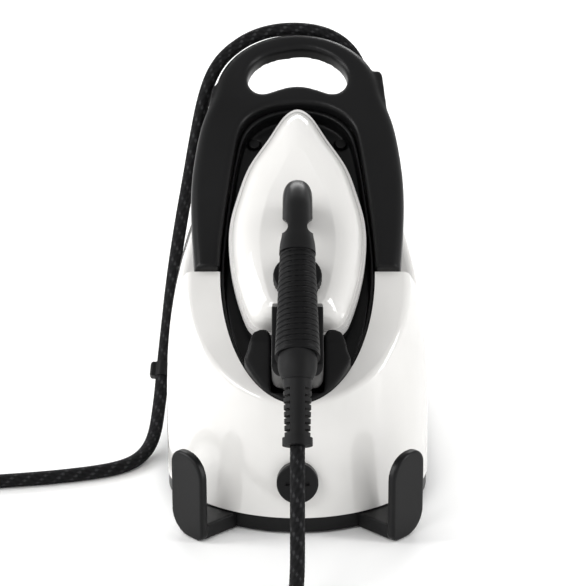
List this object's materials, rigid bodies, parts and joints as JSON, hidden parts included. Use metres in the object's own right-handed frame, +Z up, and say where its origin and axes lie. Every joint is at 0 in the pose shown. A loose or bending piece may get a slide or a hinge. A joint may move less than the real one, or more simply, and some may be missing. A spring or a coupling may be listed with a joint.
{
  "type": "steam generator iron",
  "caption": "Wedge-shaped steam station with a sloping rest, carrying handle, cord hooks, lift-out water tank and a lift-off iron on a braided steam hose.",
  "frame": {"origin": "middle of the station's footprint on the floor, at the underside of the middle foot", "axes": "+Z up; the front, where the iron's heel points, faces -Y; +X to the right of someone facing +Y"},
  "size_m": [0.4607, 0.6154, 0.3198],
  "materials": {
    "white_shell": "glossy",
    "black_plastic": "satin, fine grain",
    "black_rubber": "matte",
    "soft_grip": "matte, ribbed",
    "silicone": "matte",
    "silver_plastic": "satin",
    "sole_metal": "polished",
    "steel": "brushed",
    "brass": "machined",
    "heater_metal": "oxidised",
    "insulation": "felt",
    "board": "solder mask",
    "smoke_tank": "translucent smoke",
    "pump_plastic": "plain",
    "hose_braid": "woven textile braid"
  },
  "bodies": {
    "generator": {"base_plate": "black_plastic", "rubber_feet": "black_rubber", "base_screws": "steel", "screw_posts": "pump_plastic", "housing_shell": "white_shell", "rear_cover": "black_plastic", "handle_frame": "black_plastic", "rest_tray": "black_plastic", "rest_pads": "black_rubber", "cord_hook_left": "black_plastic", "cord_hook_right": "black_plastic", "drain_port": "black_plastic", "switch_cover": "black_plastic", "button_board": "board", "boiler": "steel", "boiler_insulation": "insulation", "boiler_stand": "steel", "boiler_heater": "heater_metal", "safety_valve": "brass", "pressure_switch": "black_plastic", "boiler_thermostat": "black_plastic", "solenoid_valve": "brass", "steam_pipe": "silicone", "hose_outlet": "black_rubber", "pump": "pump_plastic", "pump_mounts": "black_rubber", "inlet_hose": "silicone", "feed_hose": "silicone", "control_board": "board", "mains_gland": "black_plastic", "tank_socket": "pump_plastic", "tank_seal": "black_rubber", "steam_hose": "hose_braid", "hose_clip": "black_plastic"},
    "drain_cap": {"drain_cap": "black_plastic"},
    "power_button": {"power_button": "black_plastic"},
    "steam_button": {"steam_button": "black_plastic"},
    "tank": {"water_tank": "smoke_tank", "tank_valve": "pump_plastic", "lid_pin": "steel"},
    "tank_lid": {"tank_lid": "black_plastic"},
    "iron": {"soleplate": "sole_metal", "chamber_cover": "steel", "iron_heater": "heater_metal", "iron_skirt": "silver_plastic", "iron_body": "white_shell", "iron_thermostat": "steel", "handle_core": "black_plastic", "grip_sleeve": "soft_grip", "heel_housing": "black_plastic", "hose_collar": "black_rubber", "strain_relief": "black_rubber", "steam_tube": "silicone", "trigger_pin": "steel", "trigger_switch": "black_plastic", "iron_screws": "steel"},
    "temperature_dial": {"temperature_dial": "black_plastic"},
    "steam_trigger": {"steam_trigger": "black_plastic"}
  },
  "joints": [
    {"name": "drain_cap_turn", "type": "hinge", "parent": "generator", "child": "drain_cap", "pos_m": [0, -0.18754, 0.04319], "axis": [0, -0.9874, 0.158], "range_deg": [0, 90]},
    {"name": "power_button_press", "type": "slide", "parent": "generator", "child": "power_button", "axis": [0, 0.5878, -0.809], "range_m": [0, 0.0015], "stiffness_N_per_m": 600},
    {"name": "steam_button_press", "type": "slide", "parent": "generator", "child": "steam_button", "axis": [0, 0.5878, -0.809], "range_m": [0, 0.0015], "stiffness_N_per_m": 600},
    {"name": "tank_lift", "type": "slide", "parent": "generator", "child": "tank", "axis": [0, 0, 1], "range_m": [0, 0.16]},
    {"name": "tank_lid_hinge", "type": "hinge", "parent": "tank", "child": "tank_lid", "pos_m": [0, 0.13394, 0.18418], "axis": [1, 0, 0], "range_deg": [0, 100]},
    {"name": "iron_lift", "type": "slide", "parent": "generator", "child": "iron", "axis": [0, -0.5878, 0.809], "range_m": [0, 0.1]},
    {"name": "dial_turn", "type": "hinge", "parent": "iron", "child": "temperature_dial", "pos_m": [0, -0.12336, 0.1826], "axis": [0, -0.5878, 0.809], "range_deg": [0, 270]},
    {"name": "trigger_squeeze", "type": "hinge", "parent": "iron", "child": "steam_trigger", "pos_m": [0, -0.11908, 0.22773], "axis": [-1, 0, 0], "range_deg": [0, 7], "stiffness_Nm_per_rad": 0.4}
  ]
}
